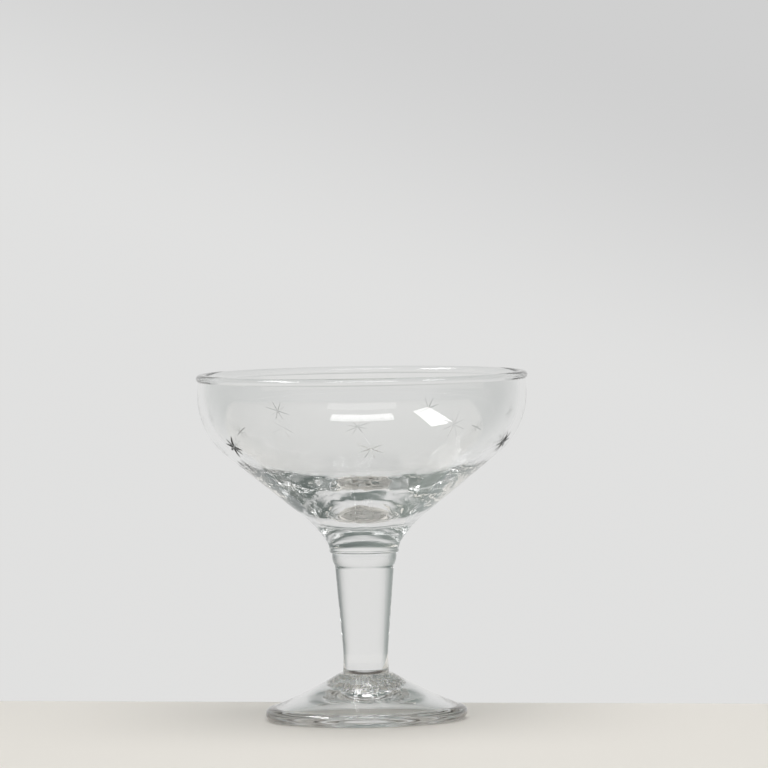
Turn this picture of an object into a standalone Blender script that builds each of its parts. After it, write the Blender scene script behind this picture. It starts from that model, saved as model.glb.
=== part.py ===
"""Champagne coupe in clear glass: a bowl, a joining wafer, a stem and a foot, turned on one axis.

Lengths are in metres. Z points up, the axis of the glass is the Z axis, and the foot stands on z = 0.
Each piece is turned from a half outline given as (radius, height) points above its own lower face.
"""

import math

import bpy
from mathutils import Vector

# Joints between the pieces
JOINT_GAP = 0.0003  # room at each flat face where two gathers of glass are fused
SEAT_STEP = 0.0002  # the bowl's underside stands this far past the wafer's flat face

# Bowl, outside
RIM_DIAMETER = 0.110  # over the fire-polished bead
RIM_BEAD_HEIGHT = 0.0034
RIM_BEAD_LIP = 0.0006  # how far the bead stands out from the side, inwards and outwards
SIDE_DEPTH = 0.0191  # rim to the level where the side's line meets the cone's line
SIDE_LEAN = math.radians(2.2)  # the side swells outwards below the bead
SHOULDER_RADIUS = 0.025
CONE_ANGLE = math.radians(39)  # from level
NECK_DIAMETER = 0.0308  # where the cone's line meets the neck's line
NECK_ANGLE = math.radians(57.2)  # from level
NECK_RADIUS = 0.036
BOWL_SEAT_DIAMETER = 0.0244  # flat underside

# Bowl, inside
WALL = 0.0024  # the side, just under the bead
CAVITY_SIDE_DEPTH = 0.0178  # rim to the level where the inner side's line meets the inner cone's line
CAVITY_SHOULDER_RADIUS = 0.0225
CAVITY_ANGLE = math.radians(39)  # upper part of the inner cone, from level
CAVITY_BEND_DIAMETER = 0.074  # where the inner cone turns flatter, so that the glass thickens
CAVITY_BEND_RADIUS = 0.045
CAVITY_FLOOR_ANGLE = math.radians(28)  # lower part of the inner cone, from level
CAVITY_FLOOR_RADIUS = 0.032  # rounding at the bottom of the drink

# Wafer between the bowl and the stem
WAFER_HEIGHT = 0.0032
WAFER_TAPER = 0.0004  # how far the side draws in below the upper face
WAFER_SIDE_HEIGHT = 0.0011  # upright part of the side, above the lower face
WAFER_SIDE_RADIUS = 0.0015
WAFER_EDGE_RADIUS = 0.0012

# Stem
STEM_LENGTH = 0.0398
STEM_TOP_DIAMETER = 0.0202  # under the tool rings
STEM_WAIST_DIAMETER = 0.0145
STEM_WAIST_HEIGHT = 0.0052  # above the stem's lower face
STEM_WAIST_RADIUS = 0.045
STEM_BASE_DIAMETER = 0.0154
TOOL_RING_HEIGHTS = (0.0026, 0.0017)  # the two rings left by the jacks, from the top down
TOOL_RING_BULGES = (0.0006, 0.0003)

# Foot
FOOT_DIAMETER = 0.067
FOOT_HEIGHT = 0.0154
FOOT_EDGE = 0.0046  # thickness of the rounded edge
FOOT_SWEEP_RADIUS = 0.150  # hollow sweep of the upper side, from the hub to the edge
HUB_MARGIN = 0.0012  # the hub's flat top runs this far past the stem's lower face
REST_WIDTH = 0.0026  # flat ring that the glass stands on
UNDERSIDE_RISE = 0.0006  # from the resting ring up to the edge of the pontil mark
PONTIL_DIAMETER = 0.0248  # hollow in the middle of the underside, where the working rod was broken off
PONTIL_FLOOR_DIAMETER = 0.0186
PONTIL_DEPTH = 0.0045

# Fineness of the turned surfaces
TURN_STEPS = 56
ARC_STEP = math.radians(7)
BEAD_POINTS = 8
FLANK_POINTS = 2
RING_POINTS = 5
EDGE_POINTS = 8
MERGE_DISTANCE = 0.00001
SHARP_ANGLE = math.radians(35)

# Clear glass with a faint grey-green tint
GLASS_COLOUR = (0.90, 0.93, 0.91, 1.0)
GLASS_ROUGHNESS = 0.02
GLASS_IOR = 1.52


def clear_scene():
    for old in list(bpy.data.objects):
        bpy.data.objects.remove(old, do_unlink=True)


def glass_material(name):
    material = bpy.data.materials.new(name)
    material.use_nodes = True
    shader = material.node_tree.nodes["Principled BSDF"]
    shader.inputs["Base Color"].default_value = GLASS_COLOUR
    shader.inputs["Roughness"].default_value = GLASS_ROUGHNESS
    shader.inputs["Metallic"].default_value = 0.0
    shader.inputs["IOR"].default_value = GLASS_IOR
    shader.inputs["Transmission Weight"].default_value = 1.0
    return material


def corner_tangents(points, radii):
    """How far each rounding reaches along its sides. Two that meet on one side share its length."""
    tangents = [0.0] * len(points)
    for i in range(1, len(points) - 1):
        before = points[i - 1] - points[i]
        after = points[i + 1] - points[i]
        tangents[i] = radii[i] / math.tan(before.angle(after) / 2)
    for i in range(len(points) - 1):
        length = (points[i + 1] - points[i]).length
        share = length / max(length, tangents[i] + tangents[i + 1])
        tangents[i] *= share
        tangents[i + 1] *= share
    return tangents


def rounded(corners):
    """Rounds an outline given as (radius, height, rounding) corners, each by an arc."""
    points = [Vector((r, z)) for r, z, rounding in corners]
    tangents = corner_tangents(points, [rounding for r, z, rounding in corners])
    outline = [points[0]]
    for i in range(1, len(points) - 1):
        if tangents[i] == 0.0:
            outline.append(points[i])
            continue
        before = (points[i - 1] - points[i]).normalized()
        after = (points[i + 1] - points[i]).normalized()
        half = before.angle(after) / 2
        centre = points[i] + (before + after).normalized() * tangents[i] / math.cos(half)
        start = points[i] + before * tangents[i] - centre
        end = points[i] + after * tangents[i] - centre
        turn = start.angle(end)
        pieces = max(2, math.ceil(turn / ARC_STEP))
        for k in range(pieces + 1):
            along = turn * k / pieces
            outline.append(centre + (start * math.sin(turn - along) + end * math.sin(along)) / math.sin(turn))
    outline.append(points[-1])
    return outline


def hollow_arc(start, end, radius, pieces):
    """Arc from start down to end, hollow towards the axis of the glass."""
    chord = end - start
    across = Vector((-chord.y, chord.x)).normalized()
    depth = math.sqrt(radius**2 - (chord.length / 2) ** 2)
    centre = (start + end) / 2 + across * depth
    first = start - centre
    last = end - centre
    turn = first.angle(last)
    arc = []
    for k in range(pieces + 1):
        along = turn * k / pieces
        arc.append(centre + (first * math.sin(turn - along) + last * math.sin(along)) / math.sin(turn))
    return arc


def bulged(top, bottom, bulge, pieces):
    """Side that swells between two levels as half a sine wave, top to bottom."""
    side = []
    for k in range(pieces + 1):
        share = k / pieces
        point = top.lerp(bottom, share)
        side.append(point + Vector((bulge * math.sin(math.pi * share), 0.0)))
    return side


def rim_bead(centre):
    """Fire-polished bead over the rim, from the inner side over the top to the outer side."""
    half_width = WALL / 2 + RIM_BEAD_LIP
    half_height = RIM_BEAD_HEIGHT / 2
    under = math.acos(WALL / 2 / half_width)
    flank = [under * (1 - k / FLANK_POINTS) for k in range(FLANK_POINTS)]
    angles = [math.pi + angle for angle in flank]
    angles += [math.pi * (1 - k / BEAD_POINTS) for k in range(BEAD_POINTS + 1)]
    angles += [-angle for angle in reversed(flank)]
    return [centre + Vector((half_width * math.cos(a), half_height * math.sin(a))) for a in angles]


def bowl_height():
    """Seat to rim: side, then cone, then neck."""
    cone_drop = (shoulder_corner_radius() - NECK_DIAMETER / 2) * math.tan(CONE_ANGLE)
    neck_drop = (NECK_DIAMETER - BOWL_SEAT_DIAMETER) / 2 * math.tan(NECK_ANGLE)
    return SIDE_DEPTH + cone_drop + neck_drop


def shoulder_corner_radius():
    return RIM_DIAMETER / 2 - RIM_BEAD_LIP + (SIDE_DEPTH - RIM_BEAD_HEIGHT) * math.tan(SIDE_LEAN)


def bowl_outline():
    height = bowl_height()
    side_radius = RIM_DIAMETER / 2 - RIM_BEAD_LIP
    bead = rim_bead(Vector((side_radius - WALL / 2, height - RIM_BEAD_HEIGHT / 2)))
    inner_corner = bead[0].x + (CAVITY_SIDE_DEPTH - RIM_BEAD_HEIGHT) * math.tan(SIDE_LEAN)
    inner_level = height - CAVITY_SIDE_DEPTH
    bend = CAVITY_BEND_DIAMETER / 2
    bend_level = inner_level - (inner_corner - bend) * math.tan(CAVITY_ANGLE)
    tip_level = bend_level - bend * math.tan(CAVITY_FLOOR_ANGLE)
    mirror_bend = (-bend, bend_level, 0.0)
    cavity = rounded(
        [
            mirror_bend,
            (0.0, tip_level, CAVITY_FLOOR_RADIUS),
            (bend, bend_level, CAVITY_BEND_RADIUS),
            (inner_corner, inner_level, CAVITY_SHOULDER_RADIUS),
            (bead[0].x, bead[0].y, 0.0),
        ]
    )
    floor = Vector((0.0, tip_level + CAVITY_FLOOR_RADIUS * (1 / math.cos(CAVITY_FLOOR_ANGLE) - 1)))
    inside = [floor] + [point for point in cavity[:-1] if point.x > MERGE_DISTANCE]
    neck_drop = (NECK_DIAMETER - BOWL_SEAT_DIAMETER) / 2 * math.tan(NECK_ANGLE)
    outside = rounded(
        [
            (bead[-1].x, bead[-1].y, 0.0),
            (shoulder_corner_radius(), height - SIDE_DEPTH, SHOULDER_RADIUS),
            (NECK_DIAMETER / 2, neck_drop, NECK_RADIUS),
            (BOWL_SEAT_DIAMETER / 2, 0.0, 0.0),
        ]
    )
    return inside + bead + outside[1:] + [Vector((0.0, 0.0))]


def wafer_radius():
    return BOWL_SEAT_DIAMETER / 2 - SEAT_STEP


def wafer_outline():
    """Flat upper face, tapered side and a rounded lower edge."""
    side_radius = wafer_radius() - WAFER_TAPER
    return rounded(
        [
            (0.0, WAFER_HEIGHT, 0.0),
            (wafer_radius(), WAFER_HEIGHT, 0.0),
            (side_radius, WAFER_SIDE_HEIGHT, WAFER_SIDE_RADIUS),
            (side_radius, 0.0, WAFER_EDGE_RADIUS),
            (0.0, 0.0, 0.0),
        ]
    )


def stem_outline():
    outline = [Vector((0.0, STEM_LENGTH))]
    level = STEM_LENGTH
    radius = STEM_TOP_DIAMETER / 2
    for height, bulge in zip(TOOL_RING_HEIGHTS, TOOL_RING_BULGES):
        ring = bulged(Vector((radius, level)), Vector((radius, level - height)), bulge, RING_POINTS)
        outline += ring[:-1]
        level -= height
    taper = rounded(
        [
            (radius, level, 0.0),
            (STEM_WAIST_DIAMETER / 2, STEM_WAIST_HEIGHT, STEM_WAIST_RADIUS),
            (STEM_BASE_DIAMETER / 2, 0.0, 0.0),
        ]
    )
    return outline + taper + [Vector((0.0, 0.0))]


def foot_outline():
    hub_edge = Vector((STEM_BASE_DIAMETER / 2 + HUB_MARGIN, FOOT_HEIGHT))
    edge_centre = Vector((FOOT_DIAMETER / 2 - FOOT_EDGE / 2, FOOT_EDGE / 2))
    sweep_end = edge_centre + Vector((0.0, FOOT_EDGE / 2))
    sweep = hollow_arc(hub_edge, sweep_end, FOOT_SWEEP_RADIUS, EDGE_POINTS)
    edge = []
    for k in range(1, EDGE_POINTS + 1):
        angle = math.pi / 2 - math.pi * k / EDGE_POINTS
        edge.append(edge_centre + Vector((math.cos(angle), math.sin(angle))) * FOOT_EDGE / 2)
    rest_inner = edge_centre.x - REST_WIDTH
    pontil_floor = UNDERSIDE_RISE + PONTIL_DEPTH
    underside = [
        Vector((rest_inner, 0.0)),
        Vector((PONTIL_DIAMETER / 2, UNDERSIDE_RISE)),
        Vector((PONTIL_FLOOR_DIAMETER / 2, pontil_floor)),
        Vector((0.0, pontil_floor)),
    ]
    return [Vector((0.0, FOOT_HEIGHT))] + sweep + edge + underside


def turned(name, outline, level, parent, collection):
    """Turns a half outline about Z into a closed piece standing at the given level."""
    profile = bpy.data.meshes.new(name)
    points = [(point.x, 0.0, point.y) for point in outline]
    profile.from_pydata(points, [(i, i + 1) for i in range(len(points) - 1)], [])
    piece = bpy.data.objects.new(name, profile)
    collection.objects.link(piece)
    screw = piece.modifiers.new("Turn", "SCREW")
    screw.axis = "Z"
    screw.angle = math.tau
    screw.steps = TURN_STEPS
    screw.render_steps = TURN_STEPS
    screw.use_merge_vertices = True
    screw.merge_threshold = MERGE_DISTANCE
    graph = bpy.context.evaluated_depsgraph_get()
    mesh = bpy.data.meshes.new_from_object(piece.evaluated_get(graph))
    piece.modifiers.clear()
    piece.data = mesh
    bpy.data.meshes.remove(profile)
    mesh.name = name
    mesh.shade_smooth()
    mesh.set_sharp_from_angle(angle=SHARP_ANGLE)
    mesh.materials.append(glass_material(name + "_glass"))
    piece.parent = parent
    piece.location.z = level
    return piece


def build_coupe():
    clear_scene()
    collection = bpy.data.collections.new("champagne_coupe")
    bpy.context.scene.collection.children.link(collection)
    axis = bpy.data.objects.new("coupe_axis", None)
    collection.objects.link(axis)
    stem_level = FOOT_HEIGHT + JOINT_GAP
    wafer_level = stem_level + STEM_LENGTH + JOINT_GAP
    bowl_level = wafer_level + WAFER_HEIGHT + JOINT_GAP
    turned("foot", foot_outline(), 0.0, axis, collection)
    turned("stem", stem_outline(), stem_level, axis, collection)
    turned("wafer", wafer_outline(), wafer_level, axis, collection)
    turned("bowl", bowl_outline(), bowl_level, axis, collection)


build_coupe()
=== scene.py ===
"""Looks of a champagne coupe: clear hand-made glass with cut stars.

It stands on a pale stone slab in soft studio light. Lengths are in metres. Z points up, the glass
stands on z = 0 and the camera looks along +Y. Each piece of glass is turned from a half outline that
is given as (radius, height) points.
"""

import math
import random

import bmesh
import bpy
from mathutils import Matrix, Vector, noise


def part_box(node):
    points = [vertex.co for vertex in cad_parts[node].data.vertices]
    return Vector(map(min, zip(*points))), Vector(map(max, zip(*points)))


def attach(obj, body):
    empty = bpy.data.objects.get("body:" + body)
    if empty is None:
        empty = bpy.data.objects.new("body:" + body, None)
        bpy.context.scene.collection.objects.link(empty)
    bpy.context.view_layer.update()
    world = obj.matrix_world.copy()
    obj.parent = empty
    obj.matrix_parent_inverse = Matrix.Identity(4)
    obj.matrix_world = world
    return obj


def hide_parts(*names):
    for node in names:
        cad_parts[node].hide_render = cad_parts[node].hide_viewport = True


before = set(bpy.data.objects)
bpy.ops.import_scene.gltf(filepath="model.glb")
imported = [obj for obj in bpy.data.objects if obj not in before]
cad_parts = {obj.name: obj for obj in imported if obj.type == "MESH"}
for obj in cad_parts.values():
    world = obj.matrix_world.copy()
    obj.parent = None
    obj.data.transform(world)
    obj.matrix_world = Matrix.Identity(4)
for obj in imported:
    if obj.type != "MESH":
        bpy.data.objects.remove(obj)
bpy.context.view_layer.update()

# Levels and radii of the solids. A joint level is the middle of the room that they keep at a fused face
FOOT_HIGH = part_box("foot")[1]
STEM_LOW, STEM_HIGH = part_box("stem")
WAFER_LOW, WAFER_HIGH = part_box("wafer")
BOWL_LOW, BOWL_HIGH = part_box("bowl")
FOOT_JOINT = (FOOT_HIGH.z + STEM_LOW.z) / 2
STEM_JOINT = (STEM_HIGH.z + WAFER_LOW.z) / 2
WAFER_JOINT = (WAFER_HIGH.z + BOWL_LOW.z) / 2
RIM_LEVEL = BOWL_HIGH.z
RIM_RADIUS = BOWL_HIGH.x
FOOT_RADIUS = FOOT_HIGH.x

# Bowl, outside
RIM_BEAD_HEIGHT = 0.0028
RIM_BEAD_LIP = 0.0006  # the bead stands this far past the wall, outside and inside
SIDE_RADIUS = RIM_RADIUS - RIM_BEAD_LIP
SIDE_DEPTH = 0.0191  # from the rim down to the corner of side and cone
SIDE_LEAN = math.radians(2.2)  # the side widens downwards
SHOULDER_RADIUS = 0.025
CONE_ANGLE = math.radians(39)
NECK_RADIUS_AT_CORNER = 0.0154
NECK_ROUNDING = 0.036
SEAT_RADIUS = 0.0122

# Bowl, inside
WALL = 0.0024  # thickness of the glass at the side
CAVITY_SIDE_DEPTH = 0.0178
CAVITY_SHOULDER_RADIUS = 0.0225
CAVITY_ANGLE = CONE_ANGLE
CAVITY_BEND_RADIUS = 0.037  # distance from the axis at which the cavity becomes flatter
CAVITY_BEND_ROUNDING = 0.045
CAVITY_FLOOR_ANGLE = math.radians(28)
CAVITY_FLOOR_RADIUS = 0.032

# Wafer: its side carries on from the bowl's neck
WAFER_RADIUS = 0.0115
WAFER_SIDE_SHARE = 0.62  # share of its height at which the side becomes upright
WAFER_TOP_ROUNDING = 0.006
WAFER_EDGE_ROUNDING = 0.0006

# Stem
STEM_TOP_RADIUS = 0.0106
STEM_WAIST_RADIUS = 0.00725
STEM_WAIST_HEIGHT = 0.0052
STEM_WAIST_ROUNDING = 0.045
STEM_BASE_RADIUS = 0.0077
TOOL_RING_HEIGHT = 0.0043
TOOL_RING_BULGE = 0.0004
TOOL_RING_DRAW = 0.0008  # the stem is this much slimmer under the ring

# Foot, hollow underneath
FOOT_EDGE = 0.0046  # thickness of the rounded edge
FOOT_SWEEP_RADIUS = 0.150  # hollow sweep of the upper side
HUB_MARGIN = 0.0012  # the hub's flat top runs this far past the stem
REST_WIDTH = 0.0026  # flat ring that the glass stands on
UNDERSIDE_RISE = 0.0076
UNDERSIDE_STEPS = 80

# Pontil mark at the top of the hollow, where the working rod was cracked off
PONTIL_RADIUS = 0.0105
PONTIL_STEP = 0.0015  # the mark lies this much higher than the smooth hollow
PONTIL_ROUGHNESS = 0.0036
PONTIL_GRAIN = 0.0024
PONTIL_FINE_GRAIN = 0.0008
PONTIL_FADE = 0.25  # share of its radius over which the mark sets in

# Cut stars on the bowl, in rows of (level, stars). Each star is (degrees from the camera's side, strength)
STAR_ROWS = (
    (0.0925, ((-119, 0.7), (-59, 1.6), (3, 0.7), (70, 1.6), (125, 0.6), (182, 0.6))),
    (0.0998, ((-146, 0.6), (-93, 0.9), (-29, 0.7), (34, 0.7), (101, 1.1), (154, 0.6))),
)
STAR_CUTS = 4  # long shallow cuts that cross in one star
STAR_LENGTH = 0.0104
STAR_UNEVENNESS = 0.22  # largest share by which a cut is longer or shorter
STAR_TILT = 0.12  # largest turn of a cut off its direction, in radians
STAR_SEED = 7
CUT_WIDTH = 0.0008
CUT_DEPTH = 0.0002
CUT_LIFT = 0.0001  # the cutter stands out of the glass by this much
CUT_STEPS = 10
CUT_CORNERS = 3  # corners of its V section
CUT_ROUGHNESS = 0.22

# Waves in the thick glass under the drink
RIPPLE_HEIGHT = 0.00006
RIPPLE_SIZE = 0.005
RIPPLE_FINENESS = 2.3  # the small waves are this much finer
RIPPLE_LEVELS = (0.084, 0.096)  # in full below the first, gone above the second
RIPPLE_START = 0.004  # height above the joint over which they set in
SMALL_SHARE = 0.5  # height of the small waves against the large ones, in the pontil mark too

# Fineness
TURN_STEPS = 288
ARC_STEP = math.radians(1.5)
ARC_LEAST_STEPS = 4
LINE_STEP = 0.0012
CURVE_POINTS = 48
SAME_POINT = 1e-7  # points closer than this are one
ON_AXIS = 1e-6  # a point nearer than this to the axis lies on it
TURNED_EDGE = math.radians(35)  # a sharper bend shows as an edge
CUT_EDGE = math.radians(25)  # the same once the stars are cut
LIGHT_BOUNCES = 32

# Places in each piece's list of materials
JOINT_SLOT = 1
CUT_SLOT = 2

# Camera, from the photograph: the rim and the foot give its height and distance
IMAGE_SIDE = 768
FOCAL_PIXELS = 6900
CAMERA_DISTANCE = 2.286
CAMERA_HEIGHT = 0.2055
CAMERA_PITCH = math.radians(2.357)
CAMERA_ROLL = math.radians(0.85)
AXIS_PIXELS_LEFT = 22.3
SENSOR = 36.0
CAMERA_REACH = 100.0

# Backdrop that the camera sees: it dims upwards and to the right
BACKDROP_LOW = (0.75, 0.75, 0.745, 1.0)
BACKDROP_HIGH = (0.63, 0.63, 0.63, 1.0)
BACKDROP_LEVELS = (-0.030, 0.020)
BACKDROP_TILT = 0.35

# Room that shows in the glass: a pale wall ahead, dim sides, and a brighter part behind the camera
WALL_COLOUR = (0.74, 0.74, 0.735, 1.0)
WALL_CENTRE = math.radians(3)
WALL_SLOPE = 0.5  # the wall reaches further down than up
WALL_EDGES = (0.35, 0.93)
ROOM_LEFT = (0.21, 0.245, 0.23, 1.0)
ROOM_RIGHT = (0.09, 0.115, 0.11, 1.0)
ROOM_EDGES = (-0.8, 0.8)
ROOM_BEHIND = (0.42, 0.42, 0.42, 1.0)
BEHIND_EDGES = (-0.8, -0.3)

# Glass, with a faint uneven tint
GLASS_COLOUR = (0.989, 0.991, 0.989, 1.0)
GLASS_TINT = (0.983, 0.988, 0.985, 1.0)
GLASS_SCALE = 60.0
GLASS_IOR = 1.52
GLASS_ROUGHNESS = 0.0

# Stone slab: its back edge runs behind the foot, a little askew
STONE_COLOUR = (0.825, 0.775, 0.72, 1.0)
STONE_CLOUD = (0.765, 0.72, 0.675, 1.0)
STONE_SCALE = 3.0
STONE_ROUGHNESS = 0.6
SLAB_SIZE = (4.0, 3.0, 0.03)
SLAB_BACK = 0.065
SLAB_TURN = math.radians(12)

# Lamps: places, sizes and radiance
LAMP_AIM = (0.0, 0.0, 0.1)
STRIP_PLACE = (0.0, -0.86, 1.37)
STRIP_SIZE = (1.06, 0.26)
STRIP = 7.5
SPARKLE_PLACE = (0.0, -0.80, STRIP_PLACE[2])
SPARKLE_SIZE = (STRIP_SIZE[0], 0.14)
SPARKLE = 6.0
WINDOW_PLACE = (-1.06, -0.315, 1.26)
WINDOW_SIZE = (1.1, 0.38)
WINDOW_TURN = math.radians(-26.6)
WINDOW = 11.0
GLOW_PLACE = (0.0, -1.75, 1.27)
GLOW_SIZE = (1.9, 0.5)
GLOW = 1.5
OVERHEAD_PLACE = (0.0, -0.1, 1.5)
OVERHEAD_AIM = (OVERHEAD_PLACE[0], OVERHEAD_PLACE[1], 0.0)  # straight down
OVERHEAD_SIZE = (1.4, 1.4)
OVERHEAD = 2.0
THROUGH_GLASS = 2.3


def corner_tangents(points, radii):
    """How far each rounding reaches along its sides. Two that meet on one side share its length."""
    tangents = [0.0] * len(points)
    for i in range(1, len(points) - 1):
        before = points[i - 1] - points[i]
        after = points[i + 1] - points[i]
        tangents[i] = radii[i] / math.tan(before.angle(after) / 2)
    for i in range(len(points) - 1):
        length = (points[i + 1] - points[i]).length
        share = length / max(length, tangents[i] + tangents[i + 1])
        tangents[i] *= share
        tangents[i + 1] *= share
    return tangents


def swing(centre, start, end, pieces):
    """Points of an arc round centre, between two radius vectors."""
    turn = start.angle(end)
    arc = []
    for k in range(pieces + 1):
        along = turn * k / pieces
        arc.append(centre + (start * math.sin(turn - along) + end * math.sin(along)) / math.sin(turn))
    return arc


def rounded(corners):
    """Rounds an outline given as (radius, height, rounding) corners, each by an arc."""
    points = [Vector((r, z)) for r, z, rounding in corners]
    tangents = corner_tangents(points, [rounding for r, z, rounding in corners])
    outline = [points[0]]
    for i in range(1, len(points) - 1):
        if tangents[i] == 0.0:
            outline.append(points[i])
            continue
        before = (points[i - 1] - points[i]).normalized()
        after = (points[i + 1] - points[i]).normalized()
        half = before.angle(after) / 2
        centre = points[i] + (before + after).normalized() * tangents[i] / math.cos(half)
        start = points[i] + before * tangents[i] - centre
        end = points[i] + after * tangents[i] - centre
        steps = max(ARC_LEAST_STEPS, math.ceil(start.angle(end) / ARC_STEP))
        outline += swing(centre, start, end, steps)
    outline.append(points[-1])
    return outline


def hollow_arc(start, end, radius):
    """Arc from start down to end, hollow on its upper side."""
    chord = end - start
    across = Vector((-chord.y, chord.x)).normalized()
    depth = math.sqrt(radius**2 - (chord.length / 2) ** 2)
    centre = (start + end) / 2 + across * depth
    return swing(centre, start - centre, end - centre, CURVE_POINTS)


def bulged(top, bottom, bulge):
    """Line from top to bottom that swells in the middle."""
    side = []
    for k in range(CURVE_POINTS // 2 + 1):
        share = k / (CURVE_POINTS // 2)
        side.append(top.lerp(bottom, share) + Vector((bulge * math.sin(math.pi * share), 0.0)))
    return side


def evened(outline):
    """Splits long straight runs, so that quads stay short."""
    fine = [outline[0]]
    for point in outline[1:]:
        last = fine[-1]
        gap = (point - last).length
        if gap < SAME_POINT:
            continue
        pieces = math.ceil(gap / LINE_STEP)
        fine += [last.lerp(point, k / pieces) for k in range(1, pieces + 1)]
    return fine


def rim_bead(centre):
    """Oval bead on the wall's top, from the inside over the rim to the outside."""
    half_width = WALL / 2 + RIM_BEAD_LIP
    half_height = RIM_BEAD_HEIGHT / 2
    under = math.acos(WALL / 2 / half_width)
    bead = []
    for k in range(CURVE_POINTS + 1):
        angle = math.pi + under - (math.pi + 2 * under) * k / CURVE_POINTS
        bead.append(centre + Vector((half_width * math.cos(angle), half_height * math.sin(angle))))
    return bead


def bowl_inside(top):
    """From the middle of the cavity's floor up to the bead."""
    corner = top.x + (CAVITY_SIDE_DEPTH - RIM_BEAD_HEIGHT) * math.tan(SIDE_LEAN)
    corner_level = RIM_LEVEL - CAVITY_SIDE_DEPTH
    bend_level = corner_level - (corner - CAVITY_BEND_RADIUS) * math.tan(CAVITY_ANGLE)
    tip_level = bend_level - CAVITY_BEND_RADIUS * math.tan(CAVITY_FLOOR_ANGLE)
    cavity = rounded(
        [
            (-CAVITY_BEND_RADIUS, bend_level, 0.0),
            (0.0, tip_level, CAVITY_FLOOR_RADIUS),
            (CAVITY_BEND_RADIUS, bend_level, CAVITY_BEND_ROUNDING),
            (corner, corner_level, CAVITY_SHOULDER_RADIUS),
            (top.x, top.y, 0.0),
        ]
    )
    floor = Vector((0.0, tip_level + CAVITY_FLOOR_RADIUS * (1 / math.cos(CAVITY_FLOOR_ANGLE) - 1)))
    return [floor] + [point for point in cavity[:-1] if point.x > ON_AXIS]


def bowl_outside(top):
    """From the bead down to the seat on the wafer."""
    corner = SIDE_RADIUS + (SIDE_DEPTH - RIM_BEAD_HEIGHT) * math.tan(SIDE_LEAN)
    corner_level = RIM_LEVEL - SIDE_DEPTH
    neck_level = corner_level - (corner - NECK_RADIUS_AT_CORNER) * math.tan(CONE_ANGLE)
    return rounded(
        [
            (top.x, top.y, 0.0),
            (corner, corner_level, SHOULDER_RADIUS),
            (NECK_RADIUS_AT_CORNER, neck_level, NECK_ROUNDING),
            (SEAT_RADIUS, WAFER_JOINT, 0.0),
        ]
    )


def bowl_outline():
    bead = rim_bead(Vector((SIDE_RADIUS - WALL / 2, RIM_LEVEL - RIM_BEAD_HEIGHT / 2)))
    return evened(bowl_inside(bead[0]) + bead + bowl_outside(bead[-1])[1:])


def wafer_outline():
    side_level = STEM_JOINT + (WAFER_JOINT - STEM_JOINT) * WAFER_SIDE_SHARE
    return evened(
        rounded(
            [
                (SEAT_RADIUS, WAFER_JOINT, 0.0),
                (WAFER_RADIUS, side_level, WAFER_TOP_ROUNDING),
                (WAFER_RADIUS, STEM_JOINT, WAFER_EDGE_ROUNDING),
                (STEM_TOP_RADIUS, STEM_JOINT, 0.0),
            ]
        )
    )


def stem_outline():
    top = Vector((STEM_TOP_RADIUS, STEM_JOINT))
    under = top - Vector((TOOL_RING_DRAW, TOOL_RING_HEIGHT))
    ring = bulged(top, under, TOOL_RING_BULGE)[:-1]
    taper = rounded(
        [
            (under.x, under.y, 0.0),
            (STEM_WAIST_RADIUS, FOOT_JOINT + STEM_WAIST_HEIGHT, STEM_WAIST_ROUNDING),
            (STEM_BASE_RADIUS, FOOT_JOINT, 0.0),
        ]
    )
    return evened(ring + taper)


def foot_outline():
    up = Vector((0.0, FOOT_EDGE / 2))
    out = Vector((FOOT_EDGE / 2, 0.0))
    hub_edge = Vector((STEM_BASE_RADIUS + HUB_MARGIN, FOOT_JOINT))
    edge_centre = Vector((FOOT_RADIUS - FOOT_EDGE / 2, FOOT_EDGE / 2))
    sweep = hollow_arc(hub_edge, edge_centre + up, FOOT_SWEEP_RADIUS)
    edge = swing(edge_centre, up, out, CURVE_POINTS // 2) + swing(edge_centre, out, -up, CURVE_POINTS // 2)
    rest_inner = edge_centre.x - REST_WIDTH
    underside = []
    for k in range(UNDERSIDE_STEPS + 1):
        share = k / UNDERSIDE_STEPS
        underside.append(Vector((rest_inner * (1 - share), UNDERSIDE_RISE * math.sin(math.pi / 2 * share))))
    return evened([Vector((STEM_BASE_RADIUS, FOOT_JOINT))] + sweep + edge + underside)


def as_object(name, work):
    """Makes a finished bmesh into an object of the scene."""
    bmesh.ops.recalc_face_normals(work, faces=work.faces)
    mesh = bpy.data.meshes.new(name)
    work.to_mesh(mesh)
    work.free()
    thing = bpy.data.objects.new(name, mesh)
    bpy.context.scene.collection.objects.link(thing)
    return thing


def add_ring(work, point):
    """Vertices of an outline's point turned about Z. A point on the axis gives one vertex."""
    if point.x < ON_AXIS:
        return [work.verts.new((0.0, 0.0, point.y))]
    ring = []
    for k in range(TURN_STEPS):
        angle = math.tau * k / TURN_STEPS
        ring.append(work.verts.new((point.x * math.cos(angle), point.x * math.sin(angle), point.y)))
    return ring


def turned(name, outline, materials):
    """Turns an outline about Z. An end off the axis is closed by a disc of the joint's material."""
    work = bmesh.new()
    rings = [add_ring(work, point) for point in outline]
    for upper, lower in zip(rings, rings[1:]):
        for k in range(TURN_STEPS):
            n = (k + 1) % TURN_STEPS
            corners = [upper[k % len(upper)], lower[k % len(lower)]]
            corners += [lower[n % len(lower)], upper[n % len(upper)]]
            work.faces.new(list(dict.fromkeys(corners))).smooth = True
    for ring in (rings[0], list(reversed(rings[-1]))):
        if len(ring) > 1:
            work.faces.new(ring).material_index = JOINT_SLOT
    piece = as_object(name, work)
    for material in materials:
        piece.data.materials.append(material)
    piece.data.set_sharp_from_angle(angle=TURNED_EDGE)
    return piece


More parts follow.
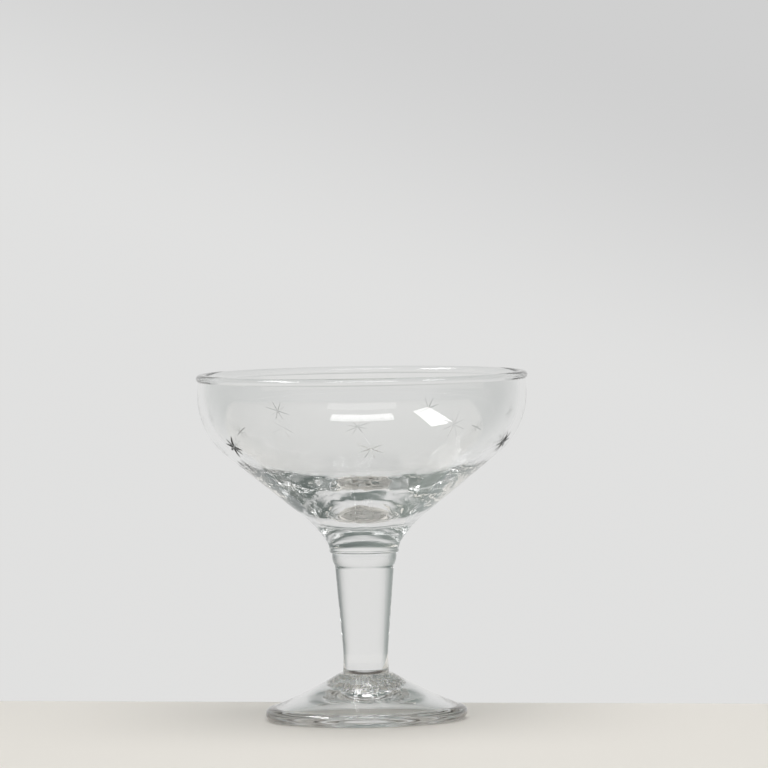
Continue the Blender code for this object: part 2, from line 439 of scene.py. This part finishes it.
def rough_pontil(foot):
    """Breaks up the middle of the underside."""
    for vertex in foot.data.vertices:
        place = vertex.co
        share = math.hypot(place.x, place.y) / PONTIL_RADIUS
        if share >= 1.0 or place.z > FOOT_JOINT / 2:
            continue
        fade = min(1.0, (1 - share) / PONTIL_FADE)
        bumps = noise.noise(place / PONTIL_GRAIN) + SMALL_SHARE * noise.noise(place / PONTIL_FINE_GRAIN)
        place.z += fade * (PONTIL_STEP + PONTIL_ROUGHNESS * bumps)


def ripple(bowl):
    """Uneven surface of glass shaped by hand, in the low part of the bowl."""
    low, high = RIPPLE_LEVELS
    normals = [vertex.normal.copy() for vertex in bowl.data.vertices]
    for vertex, normal in zip(bowl.data.vertices, normals):
        place = vertex.co
        fade = min(1.0, max(0.0, (high - place.z) / (high - low)))
        fade *= min(1.0, max(0.0, (place.z - WAFER_JOINT) / RIPPLE_START))
        small = noise.noise(place * RIPPLE_FINENESS / RIPPLE_SIZE)
        waves = noise.noise(place / RIPPLE_SIZE) + SMALL_SHARE * small
        place += normal * RIPPLE_HEIGHT * fade * waves


def on_side(outline, level):
    """Radius of the bowl's outside at a level, and the direction up along its outline."""
    for upper, lower in zip(outline, outline[1:]):
        if lower.y <= level < upper.y:
            share = (level - lower.y) / (upper.y - lower.y)
            return lower.x + (upper.x - lower.x) * share, (upper - lower).normalized()


def cut_frame(outline, angle, level, tilt):
    """A point on the bowl's outside, the direction out of the glass there, and the one across a cut."""
    radius, up = on_side(outline, level)
    out = Vector((math.sin(angle), -math.cos(angle), 0.0))
    around = Vector((math.cos(angle), math.sin(angle), 0.0))
    normal = out * up.y - Vector((0.0, 0.0, up.x))
    rise = out * up.x + Vector((0.0, 0.0, up.y))
    across = rise * math.cos(tilt) - around * math.sin(tilt)
    return out * radius + Vector((0.0, 0.0, level)), normal, across


def add_cut(work, outline, angle, level, tilt, length, strength):
    """Adds one spindle with a V section, which follows the curve of the glass, to the cutter."""
    radius, up = on_side(outline, level)
    rings = []
    for k in range(CUT_STEPS + 1):
        share = 2 * k / CUT_STEPS - 1
        along = share * length / 2
        here_angle = angle + along * math.cos(tilt) / radius
        here_level = level + along * math.sin(tilt) * up.y
        place, normal, across = cut_frame(outline, here_angle, here_level, tilt)
        top = place + normal * CUT_LIFT
        if k in (0, CUT_STEPS):
            rings.append([work.verts.new(top)])
            continue
        slim = strength * (1 - share**2)
        half = across * (CUT_WIDTH / 2 * slim + CUT_LIFT * CUT_WIDTH / 2 / CUT_DEPTH)
        bottom = place - normal * CUT_DEPTH * slim
        rings.append([work.verts.new(corner) for corner in (top - half, bottom, top + half)])
    for first, second in zip(rings, rings[1:]):
        for k in range(CUT_CORNERS):
            n = (k + 1) % CUT_CORNERS
            corners = [first[k % len(first)], first[n % len(first)]]
            corners += [second[n % len(second)], second[k % len(second)]]
            work.faces.new(list(dict.fromkeys(corners))).material_index = CUT_SLOT


def star_cutter(outline, direction, chance):
    """Cutter for one direction of cuts in all the stars."""
    work = bmesh.new()
    for level, stars in STAR_ROWS:
        for angle, strength in stars:
            tilt = math.pi * (direction + 0.5) / STAR_CUTS + chance.uniform(-STAR_TILT, STAR_TILT)
            length = STAR_LENGTH * (1 + chance.uniform(-STAR_UNEVENNESS, STAR_UNEVENNESS))
            add_cut(work, outline, math.radians(angle), level, tilt, length, strength)
    return as_object("cuts", work)


def cut_stars(bowl, outline):
    """Cuts the stars into the bowl, one direction of cuts at a time."""
    chance = random.Random(STAR_SEED)
    for direction in range(STAR_CUTS):
        cutter = star_cutter(outline, direction, chance)
        cut = bowl.modifiers.new("cut", "BOOLEAN")
        cut.operation = "DIFFERENCE"
        cut.solver = "MANIFOLD"
        cut.object = cutter
        graph = bpy.context.evaluated_depsgraph_get()
        bowl.data = bpy.data.meshes.new_from_object(bowl.evaluated_get(graph))
        bowl.modifiers.clear()
        bpy.data.objects.remove(cutter, do_unlink=True)
    bowl.data.shade_smooth()
    bowl.data.set_sharp_from_angle(angle=CUT_EDGE)


def blend(tree, factor, first, second):
    """Goes from first to second as factor goes from 0 to 1. Each is a colour or another node's output."""
    mix = tree.nodes.new("ShaderNodeMix")
    mix.data_type = "RGBA"
    tree.links.new(factor, mix.inputs["Factor"])
    for socket, colour in (("A", first), ("B", second)):
        if isinstance(colour, tuple):
            mix.inputs[socket].default_value = colour
        else:
            tree.links.new(colour, mix.inputs[socket])
    return mix.outputs["Result"]


def clouded(material, scale, first, second):
    """Gives the material's shader a colour that drifts between two tones."""
    tree = material.node_tree
    place = tree.nodes.new("ShaderNodeTexCoord")
    cloud = tree.nodes.new("ShaderNodeTexNoise")
    cloud.inputs["Scale"].default_value = scale
    tree.links.new(place.outputs["Object"], cloud.inputs["Vector"])
    tone = blend(tree, cloud.outputs["Fac"], first, second)
    tree.links.new(tone, tree.nodes["Principled BSDF"].inputs["Base Color"])


def glass_material(name, roughness):
    """Clear glass with a faint uneven tint."""
    material = bpy.data.materials.new(name)
    material.use_nodes = True
    shader = material.node_tree.nodes["Principled BSDF"]
    shader.inputs["Roughness"].default_value = roughness
    shader.inputs["IOR"].default_value = GLASS_IOR
    shader.inputs["Transmission Weight"].default_value = 1.0
    clouded(material, GLASS_SCALE, GLASS_COLOUR, GLASS_TINT)
    return material


def joint_material():
    """Fused faces: light goes straight from one piece of glass into the next."""
    material = bpy.data.materials.new("fused_joint")
    material.use_nodes = True
    nodes = material.node_tree.nodes
    nodes.clear()
    output = nodes.new("ShaderNodeOutputMaterial")
    clear = nodes.new("ShaderNodeBsdfTransparent")
    material.node_tree.links.new(clear.outputs["BSDF"], output.inputs["Surface"])
    return material


def make_glass():
    """Puts a turned piece of glass in the place of each solid."""
    materials = (
        glass_material("clear_glass", GLASS_ROUGHNESS),
        joint_material(),
        glass_material("cut_glass", CUT_ROUGHNESS),
    )
    outlines = {
        "bowl": bowl_outline(),
        "wafer": wafer_outline(),
        "stem": stem_outline(),
        "foot": foot_outline(),
    }
    for node, outline in outlines.items():
        piece = turned(node + "_glass", outline, materials)
        if node == "foot":
            rough_pontil(piece)
        if node == "bowl":
            cut_stars(piece, outline)
            ripple(piece)
        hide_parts(node)
        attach(piece, "root")


def stone_material():
    """Pale stone with faint clouds."""
    material = bpy.data.materials.new("pale_stone")
    material.use_nodes = True
    material.node_tree.nodes["Principled BSDF"].inputs["Roughness"].default_value = STONE_ROUGHNESS
    clouded(material, STONE_SCALE, STONE_COLOUR, STONE_CLOUD)
    return material


def make_floor():
    """A slab with its top at z = 0, turned about the middle of its back edge."""
    bpy.ops.mesh.primitive_cube_add(size=1.0)
    slab = bpy.context.active_object
    slab.name = "slab"
    slab.dimensions = SLAB_SIZE
    slab.rotation_euler.z = -SLAB_TURN
    slab.location = Matrix.Rotation(-SLAB_TURN, 3, "Z") @ Vector((0.0, -SLAB_SIZE[1] / 2, 0.0))
    slab.location += Vector((0.0, SLAB_BACK, -SLAB_SIZE[2] / 2))
    slab.data.materials.append(stone_material())


def ramp_between(tree, value, low, high):
    """0 below low, 1 above high, smooth between them."""
    step = tree.nodes.new("ShaderNodeMapRange")
    step.interpolation_type = "SMOOTHSTEP"
    step.inputs["From Min"].default_value = low
    step.inputs["From Max"].default_value = high
    tree.links.new(value, step.inputs["Value"])
    return step.outputs["Result"]


def reach_along(tree, place, direction):
    """How far a place in the room lies along a direction."""
    product = tree.nodes.new("ShaderNodeVectorMath")
    product.operation = "DOT_PRODUCT"
    tree.links.new(place, product.inputs[0])
    product.inputs[1].default_value = direction
    return product.outputs["Value"]


def make_world():
    """The room round the glass. The camera itself sees the plain backdrop instead."""
    world = bpy.data.worlds.new("studio")
    bpy.context.scene.world = world
    world.use_nodes = True
    tree = world.node_tree
    place = tree.nodes.new("ShaderNodeTexCoord").outputs["Generated"]
    rightward = ramp_between(tree, reach_along(tree, place, (1.0, 0.0, 0.0)), *ROOM_EDGES)
    room = blend(tree, rightward, ROOM_LEFT, ROOM_RIGHT)
    forward = ramp_between(tree, reach_along(tree, place, (0.0, 1.0, 0.0)), *BEHIND_EDGES)
    room = blend(tree, forward, ROOM_BEHIND, room)
    wall_ahead = (math.sin(WALL_CENTRE), math.cos(WALL_CENTRE), -WALL_SLOPE)
    ahead = ramp_between(tree, reach_along(tree, place, wall_ahead), *WALL_EDGES)
    room = blend(tree, ahead, room, WALL_COLOUR)
    upward = ramp_between(tree, reach_along(tree, place, (BACKDROP_TILT, 0.0, 1.0)), *BACKDROP_LEVELS)
    backdrop = blend(tree, upward, BACKDROP_LOW, BACKDROP_HIGH)
    to_camera = tree.nodes.new("ShaderNodeLightPath").outputs["Is Camera Ray"]
    seen = blend(tree, to_camera, room, backdrop)
    tree.links.new(seen, tree.nodes["Background"].inputs["Color"])


def make_lamp(name, place, aim, size, radiance, turn=0.0):
    """A lamp that lights the slab and is mirrored in the glass, but isn't seen through it."""
    light = bpy.data.lights.new(name, "AREA")
    light.shape = "RECTANGLE"
    light.size = size[0]
    light.size_y = size[1]
    light.energy = radiance * math.pi * size[0] * size[1]
    lamp = bpy.data.objects.new(name, light)
    lamp.location = place
    pointed = (Vector(aim) - Vector(place)).to_track_quat("-Z", "Y").to_matrix()
    lamp.rotation_euler = (pointed @ Matrix.Rotation(turn, 3, "Z")).to_euler()
    lamp.visible_transmission = False
    bpy.context.scene.collection.objects.link(lamp)
    return lamp


def make_shine():
    """Lamps for the highlights. The sparkle is seen only through the glass."""
    make_lamp("strip", STRIP_PLACE, LAMP_AIM, STRIP_SIZE, STRIP)
    sparkle = make_lamp("sparkle", SPARKLE_PLACE, LAMP_AIM, SPARKLE_SIZE, SPARKLE)
    sparkle.visible_transmission = True
    sparkle.visible_glossy = False
    sparkle.visible_diffuse = False
    window = make_lamp("window", WINDOW_PLACE, LAMP_AIM, WINDOW_SIZE, WINDOW, WINDOW_TURN)
    window.visible_diffuse = False
    glow = make_lamp("glow", GLOW_PLACE, LAMP_AIM, GLOW_SIZE, GLOW)
    glow.visible_diffuse = False


def make_fill():
    """Soft light from above. The part without shadow stands for the light that clear glass lets through."""
    for name, radiance, shadow in (
        ("overhead", OVERHEAD, True),
        ("overhead_through_glass", THROUGH_GLASS, False),
    ):
        fill = make_lamp(name, OVERHEAD_PLACE, OVERHEAD_AIM, OVERHEAD_SIZE, radiance)
        fill.visible_glossy = False
        fill.data.use_shadow = shadow


def make_camera():
    """Stands in front of the glass and looks a little down, with the glass left of the middle."""
    data = bpy.data.cameras.new("camera")
    data.sensor_width = SENSOR
    data.lens = FOCAL_PIXELS / IMAGE_SIDE * SENSOR
    data.clip_end = CAMERA_REACH
    camera = bpy.data.objects.new("camera", data)
    yaw = math.atan(AXIS_PIXELS_LEFT / FOCAL_PIXELS)
    turn = Matrix.Rotation(-yaw, 4, "Z") @ Matrix.Rotation(math.pi / 2 - CAMERA_PITCH, 4, "X")
    turn = turn @ Matrix.Rotation(-CAMERA_ROLL, 4, "Z")
    camera.matrix_world = Matrix.Translation((0.0, -CAMERA_DISTANCE, CAMERA_HEIGHT)) @ turn
    bpy.context.scene.collection.objects.link(camera)
    bpy.context.scene.camera = camera


def let_light_through():
    """Enough bounces for light to cross every wall of glass."""
    cycles = bpy.context.scene.cycles
    cycles.max_bounces = LIGHT_BOUNCES
    cycles.transmission_bounces = LIGHT_BOUNCES
    cycles.glossy_bounces = LIGHT_BOUNCES
    cycles.transparent_max_bounces = LIGHT_BOUNCES


let_light_through()
make_camera()
make_glass()
make_floor()
make_world()
make_shine()
make_fill()
bpy.context.scene.view_settings.view_transform = "Standard"
